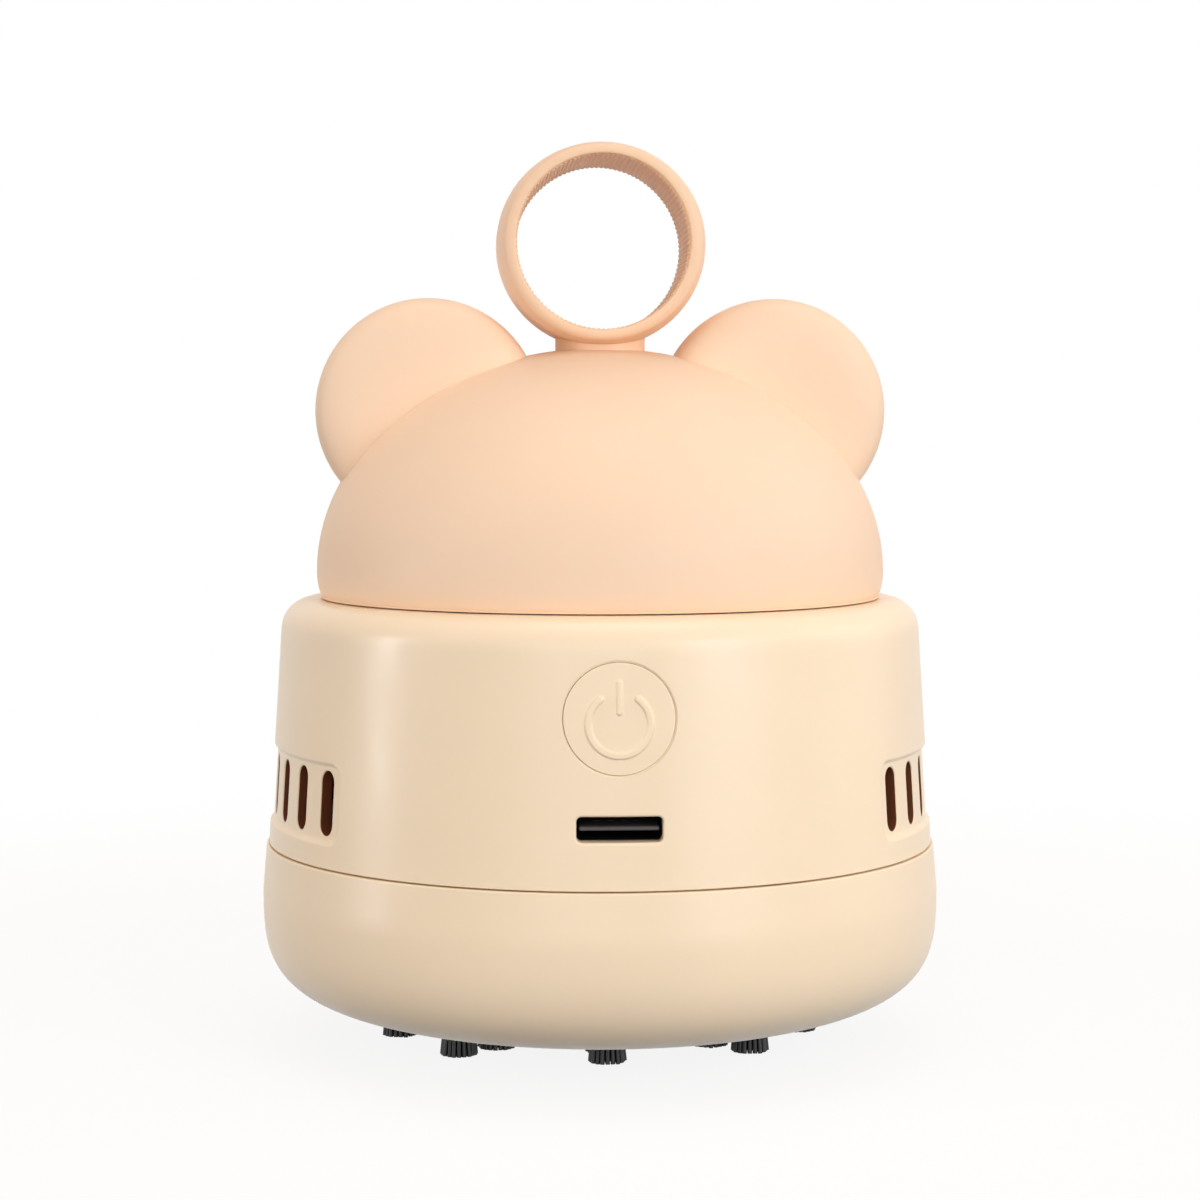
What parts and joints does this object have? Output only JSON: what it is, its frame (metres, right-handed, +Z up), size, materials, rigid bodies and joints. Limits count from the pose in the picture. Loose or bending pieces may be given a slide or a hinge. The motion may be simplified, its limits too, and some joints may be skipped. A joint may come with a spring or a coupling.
{
  "type": "desktop mini vacuum cleaner",
  "caption": "Small eared-dome desktop vacuum with a finger ring, push button, charging socket, side vents and a pull-off dust cup that stands on bristle tufts.",
  "frame": {"origin": "on the standing plane at the bristle tips, under the middle of the body", "axes": "+Z up through the finger ring, -Y towards the front with the button and the socket, +X to the viewer's right"},
  "size_m": [0.087, 0.087, 0.1152],
  "materials": {
    "cream_shell": "satin moulded plastic",
    "peach_shell": "satin moulded plastic",
    "ring_shell": "satin moulded plastic with a ribbed bore",
    "bristle": "black nylon strands",
    "inner_plastic": "plain moulded plastic",
    "dark_plastic": "plain moulded plastic",
    "felt": "pressed filter felt",
    "seal_rubber": "matte",
    "steel": "plated",
    "bronze": "sintered",
    "ferrite": "ground",
    "copper": "enamelled winding",
    "board": "solder mask",
    "cell_wrap": "shrink wrap",
    "red_wire": "insulation",
    "black_wire": "insulation"
  },
  "bodies": {
    "housing": {"main_housing": "cream_shell", "tact_switch": "dark_plastic", "control_board": "board", "board_screw_left": "steel", "board_screw_right": "steel", "usb_socket_shell": "steel", "usb_tongue": "dark_plastic", "motor_plate": "inner_plastic", "fan_cover": "inner_plastic", "seal_ring": "seal_rubber", "plate_screw_1": "steel", "plate_screw_2": "steel", "plate_screw_3": "steel", "motor_can": "steel", "motor_screw_left": "steel", "motor_screw_right": "steel", "motor_bearing": "bronze", "motor_magnet_front": "ferrite", "motor_magnet_back": "ferrite", "motor_end_cap": "dark_plastic", "dome_cap": "peach_shell", "dome_screw_1": "steel", "dome_screw_2": "steel", "dome_screw_3": "steel", "dome_screw_4": "steel", "ear_left": "peach_shell", "ear_right": "peach_shell", "ear_screw_left": "steel", "ear_screw_right": "steel", "finger_ring": "ring_shell", "ring_washer": "steel", "ring_screw": "steel", "battery_cell": "cell_wrap", "battery_cradle": "inner_plastic", "cradle_screw_front": "steel", "cradle_screw_back": "steel", "battery_strap": "dark_plastic", "battery_lead_black": "black_wire", "battery_lead_red": "red_wire", "motor_lead_black": "black_wire", "motor_lead_red": "red_wire"},
    "button": {"power_button": "cream_shell"},
    "plunger": {"switch_plunger": "dark_plastic"},
    "rotor": {"impeller": "dark_plastic", "motor_shaft": "steel", "motor_armature": "copper"},
    "cup": {"dust_cup": "cream_shell", "filter_frame": "dark_plastic", "filter_pad": "felt", "brush_right": "bristle", "brush_back": "bristle", "brush_left": "bristle", "brush_front": "bristle"}
  },
  "joints": [
    {"name": "button_press", "type": "slide", "parent": "housing", "child": "button", "axis": [0, 1, 0], "range_m": [0, 0.0006], "stiffness_N_per_m": 500},
    {"name": "plunger_press", "type": "slide", "parent": "housing", "child": "plunger", "axis": [0, 1, 0], "range_m": [0, 0.0006], "stiffness_N_per_m": 100},
    {"name": "impeller_spin", "type": "hinge", "parent": "housing", "child": "rotor", "pos_m": [0, 0, 0.0331], "axis": [0, 0, 1], "continuous": true},
    {"name": "cup_pull", "type": "slide", "parent": "housing", "child": "cup", "axis": [0, 0, -1], "range_m": [0, 0.04]}
  ],
  "couplings": [
    {"joint": "plunger_press", "follows": "button_press", "ratio": 1}
  ]
}
